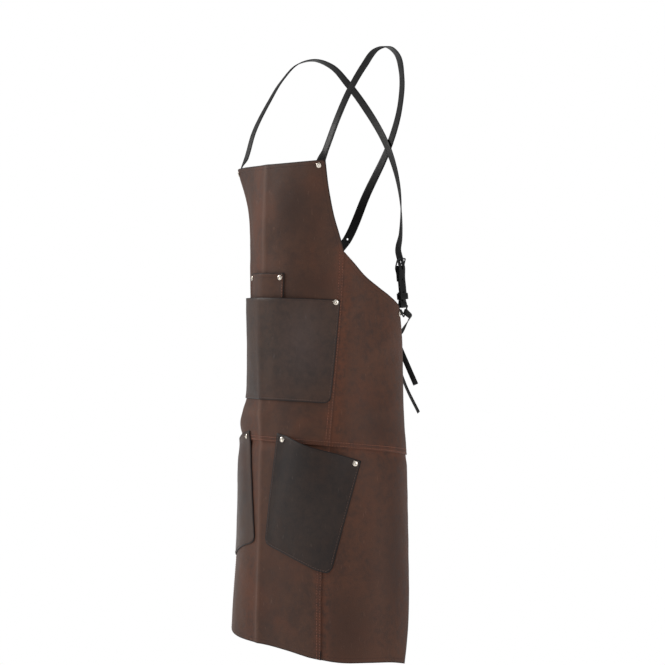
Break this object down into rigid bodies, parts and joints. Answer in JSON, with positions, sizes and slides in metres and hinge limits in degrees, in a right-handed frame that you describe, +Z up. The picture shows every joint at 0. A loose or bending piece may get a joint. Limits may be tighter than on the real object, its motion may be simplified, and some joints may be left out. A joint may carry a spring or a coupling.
{
  "type": "cross-back leather work apron",
  "caption": "Leather bib apron in its worn shape, with chest, pen and hip pockets, cross-back shoulder straps on buckles and side rings, and waist ties in a bow.",
  "frame": {"origin": "midway between the undersides of the two shoulder straps at their highest point", "axes": "+Z up, -Y the way the wearer faces, +X the wearer's left"},
  "size_m": [0.3944, 0.3159, 1.0544],
  "materials": {
    "body_leather": "waxed brown pull-up leather",
    "pocket_leather": "darker waxed brown leather",
    "strap_leather": "black satin leather",
    "nickel": "pale nickel plate",
    "black_steel": "black plated wire"
  },
  "bodies": {
    "apron": {"bib_panel": "body_leather", "bib_rivet_left": "nickel", "bib_rivet_right": "nickel", "bow_knot": "strap_leather", "buckle_frame_left": "black_steel", "buckle_frame_right": "black_steel", "buckle_strap_left": "strap_leather", "buckle_strap_right": "strap_leather", "chest_pocket": "pocket_leather", "chest_pocket_rivet_left": "nickel", "chest_pocket_rivet_right": "nickel", "hip_pocket_inner_rivet_left": "nickel", "hip_pocket_inner_rivet_right": "nickel", "hip_pocket_left": "pocket_leather", "hip_pocket_outer_rivet_left": "nickel", "hip_pocket_outer_rivet_right": "nickel", "hip_pocket_right": "pocket_leather", "pen_pocket": "pocket_leather", "pen_pocket_rivet_left": "nickel", "pen_pocket_rivet_right": "nickel", "shoulder_strap_left": "strap_leather", "shoulder_strap_right": "strap_leather", "side_rivet_left": "nickel", "side_rivet_right": "nickel", "side_tab_left": "strap_leather", "side_tab_right": "strap_leather", "skirt_centre_panel": "body_leather", "skirt_side_panel_left": "body_leather", "skirt_side_panel_right": "body_leather", "upper_side_panel_left": "body_leather", "upper_side_panel_right": "body_leather", "waist_tie_left": "strap_leather", "waist_tie_right": "strap_leather"},
    "side_ring_left": {"side_ring_left": "black_steel"},
    "buckle_tongue_left": {"buckle_tongue_left": "black_steel"},
    "strap_keeper_left": {"strap_keeper_left": "strap_leather"},
    "bow_half_left": {"bow_loop_left": "strap_leather", "bow_tail_left": "strap_leather"},
    "side_ring_right": {"side_ring_right": "black_steel"},
    "buckle_tongue_right": {"buckle_tongue_right": "black_steel"},
    "strap_keeper_right": {"strap_keeper_right": "strap_leather"},
    "bow_half_right": {"bow_loop_right": "strap_leather", "bow_tail_right": "strap_leather"}
  },
  "joints": [
    {"name": "side_ring_rock_left", "type": "hinge", "parent": "apron", "child": "side_ring_left", "pos_m": [0.0966, 0.0412, -0.4466], "axis": [-0.2077, 0.977, 0.0488], "range_deg": [-2, 2]},
    {"name": "strap_keeper_slide_left", "type": "slide", "parent": "apron", "child": "strap_keeper_left", "axis": [-0.0613, -0.0628, 0.9961], "range_m": [0, 0.016]},
    {"name": "buckle_tongue_hinge_left", "type": "hinge", "parent": "apron", "child": "buckle_tongue_left", "pos_m": [0.0925, 0.037, -0.38], "axis": [-0.2077, 0.977, 0.0488], "range_deg": [0, 50]},
    {"name": "bow_swing_left", "type": "hinge", "parent": "apron", "child": "bow_half_left", "pos_m": [0, 0.092, -0.505], "axis": [1, 0, 0], "range_deg": [0, 60]},
    {"name": "side_ring_rock_right", "type": "hinge", "parent": "apron", "child": "side_ring_right", "pos_m": [-0.0966, 0.0412, -0.4466], "axis": [-0.2077, -0.977, -0.0488], "range_deg": [-2, 2]},
    {"name": "strap_keeper_slide_right", "type": "slide", "parent": "apron", "child": "strap_keeper_right", "axis": [0.0613, -0.0628, 0.9961], "range_m": [0, 0.016]},
    {"name": "buckle_tongue_hinge_right", "type": "hinge", "parent": "apron", "child": "buckle_tongue_right", "pos_m": [-0.0925, 0.037, -0.38], "axis": [-0.2077, -0.977, -0.0488], "range_deg": [0, 50]},
    {"name": "bow_swing_right", "type": "hinge", "parent": "apron", "child": "bow_half_right", "pos_m": [0, 0.092, -0.505], "axis": [1, 0, 0], "range_deg": [0, 60]}
  ]
}
